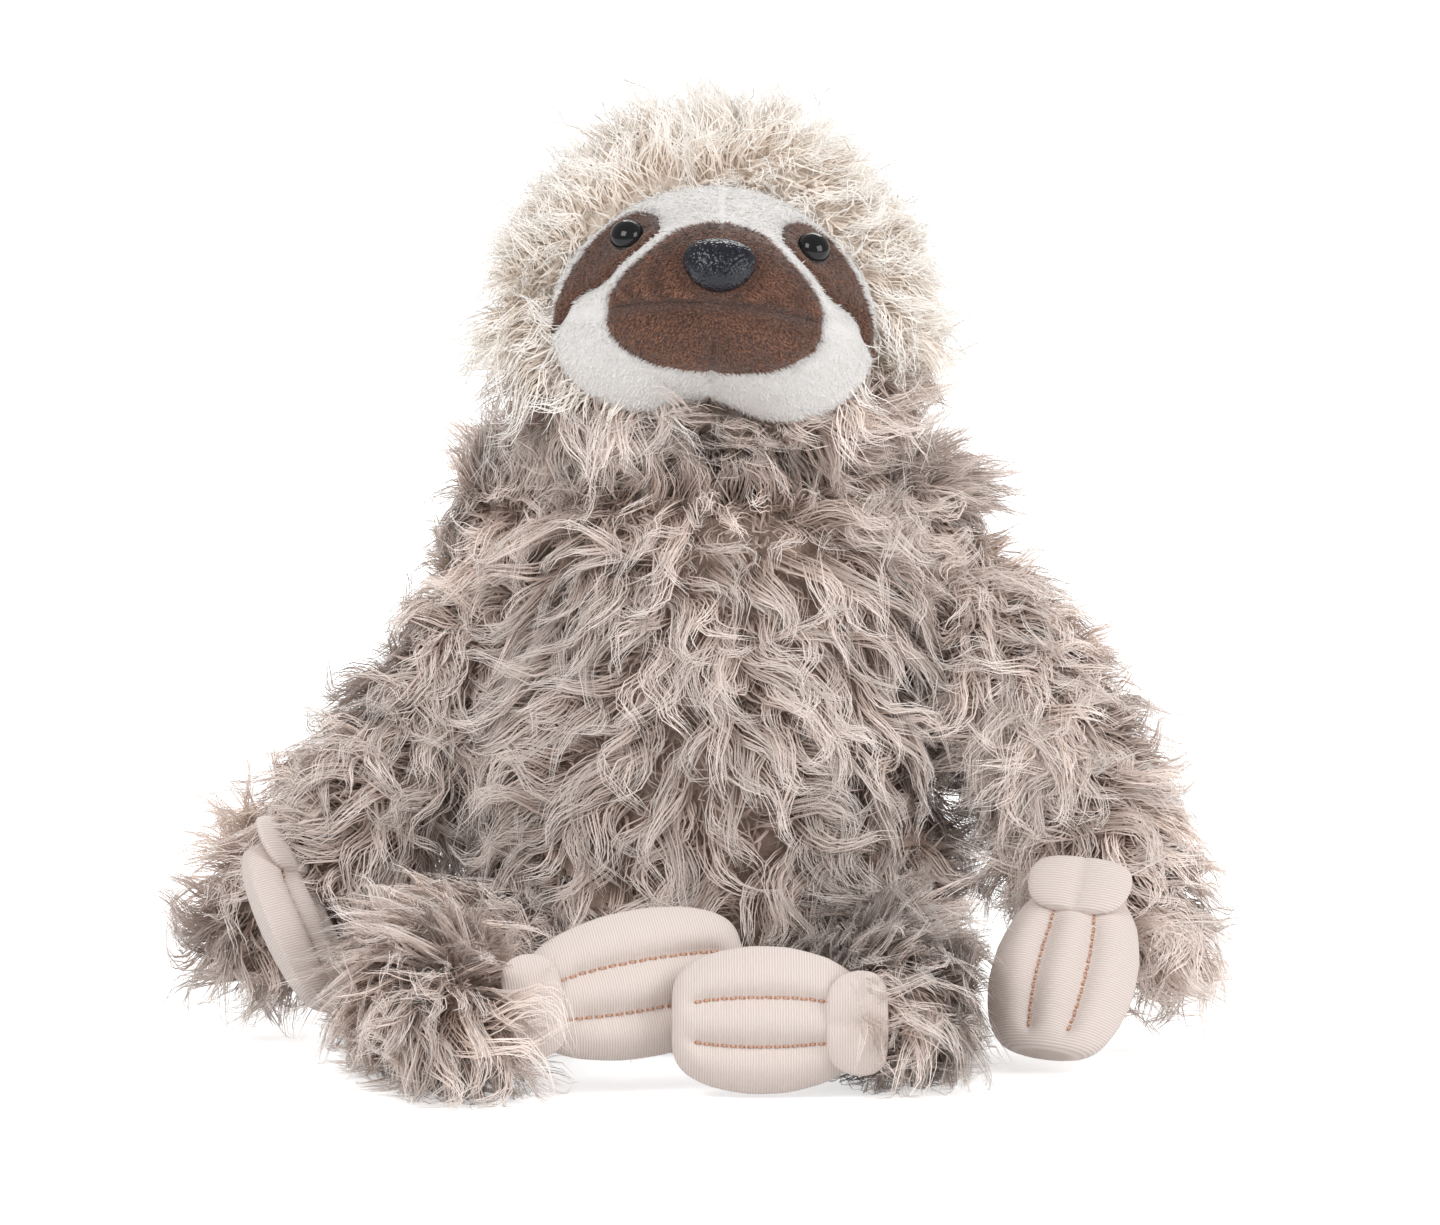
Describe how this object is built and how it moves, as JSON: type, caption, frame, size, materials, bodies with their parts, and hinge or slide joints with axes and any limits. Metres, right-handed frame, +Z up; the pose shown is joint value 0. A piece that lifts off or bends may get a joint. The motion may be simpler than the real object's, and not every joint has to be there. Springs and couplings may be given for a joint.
{
  "type": "plush sloth",
  "caption": "Seated plush sloth with shaggy greige fur, a cream and brown face, floppy jointed limbs and cream knit claws.",
  "frame": {"origin": "centre of the flat seat panel's underside, on the surface that the toy sits on", "axes": "+Z up, -Y the way the toy faces, +X the toy's left side"},
  "size_m": [0.2812, 0.2129, 0.2598],
  "materials": {
    "long_fur": "long curly faux fur in greige, darker at the roots",
    "head_fur": "long curly faux fur, paler on the head",
    "cream_pile": "short cream plush pile",
    "brown_pile": "short brown plush pile",
    "cream_knit": "fine brushed knit with peach topstitching",
    "fibre_filling": "white polyester fibre filling",
    "lining_cloth": "plain woven lining cloth",
    "black_gloss": "glossy black moulded plastic",
    "grained_plastic": "grained satin blue-black plastic",
    "white_plastic": "plain white moulded plastic"
  },
  "bodies": {
    "torso": {"torso": "long_fur", "seat_panel": "lining_cloth", "bean_bag": "lining_cloth"},
    "head": {"head_stuffing": "fibre_filling", "fur_hood": "head_fur", "face_panel": "cream_pile", "muzzle_upper": "brown_pile", "muzzle_lower": "brown_pile", "left_eye_patch": "brown_pile", "right_eye_patch": "brown_pile", "left_eye": "black_gloss", "right_eye": "black_gloss", "left_eye_washer": "white_plastic", "right_eye_washer": "white_plastic", "nose": "grained_plastic", "nose_washer": "white_plastic"},
    "left_arm": {"left_arm": "long_fur"},
    "left_hand": {"left_hand_mitt": "cream_knit", "left_hand_pad": "cream_knit"},
    "right_arm": {"right_arm": "long_fur"},
    "right_hand": {"right_hand_mitt": "cream_knit", "right_hand_pad": "cream_knit"},
    "left_leg": {"left_leg": "long_fur"},
    "left_foot": {"left_foot_mitt": "cream_knit", "left_foot_pad": "cream_knit"},
    "right_leg": {"right_leg": "long_fur"},
    "right_foot": {"right_foot_mitt": "cream_knit", "right_foot_pad": "cream_knit"}
  },
  "joints": [
    {"name": "neck", "type": "hinge", "parent": "torso", "child": "head", "pos_m": [0, -0.008, 0.17], "axis": [0, 0, 1], "range_deg": [-25, 25]},
    {"name": "left_shoulder", "type": "hinge", "parent": "torso", "child": "left_arm", "pos_m": [0.05, 0.006, 0.141], "axis": [0, -1, 0], "range_deg": [0, 60]},
    {"name": "right_shoulder", "type": "hinge", "parent": "torso", "child": "right_arm", "pos_m": [-0.05, 0.006, 0.141], "axis": [0, 1, 0], "range_deg": [0, 60]},
    {"name": "left_hip", "type": "hinge", "parent": "torso", "child": "left_leg", "pos_m": [0.038, -0.028, 0.034], "axis": [-1, 0, 0], "range_deg": [0, 30]},
    {"name": "right_hip", "type": "hinge", "parent": "torso", "child": "right_leg", "pos_m": [-0.038, -0.028, 0.034], "axis": [-1, 0, 0], "range_deg": [0, 30]},
    {"name": "left_wrist", "type": "hinge", "parent": "left_arm", "child": "left_hand", "pos_m": [0.103, -0.06, 0.048], "axis": [-0.9695, 0.2331, 0.0763], "range_deg": [0, 30]},
    {"name": "right_wrist", "type": "hinge", "parent": "right_arm", "child": "right_hand", "pos_m": [-0.127, -0.029, 0.055], "axis": [0.3748, 0.8986, -0.228], "range_deg": [0, 30]},
    {"name": "left_ankle", "type": "hinge", "parent": "left_leg", "child": "left_foot", "pos_m": [0.042, -0.133, 0.022], "axis": [0, 0, 1], "range_deg": [0, 30]},
    {"name": "right_ankle", "type": "hinge", "parent": "right_leg", "child": "right_foot", "pos_m": [-0.054, -0.132, 0.026], "axis": [-0.1437, 0, 0.9896], "range_deg": [0, 30]}
  ]
}
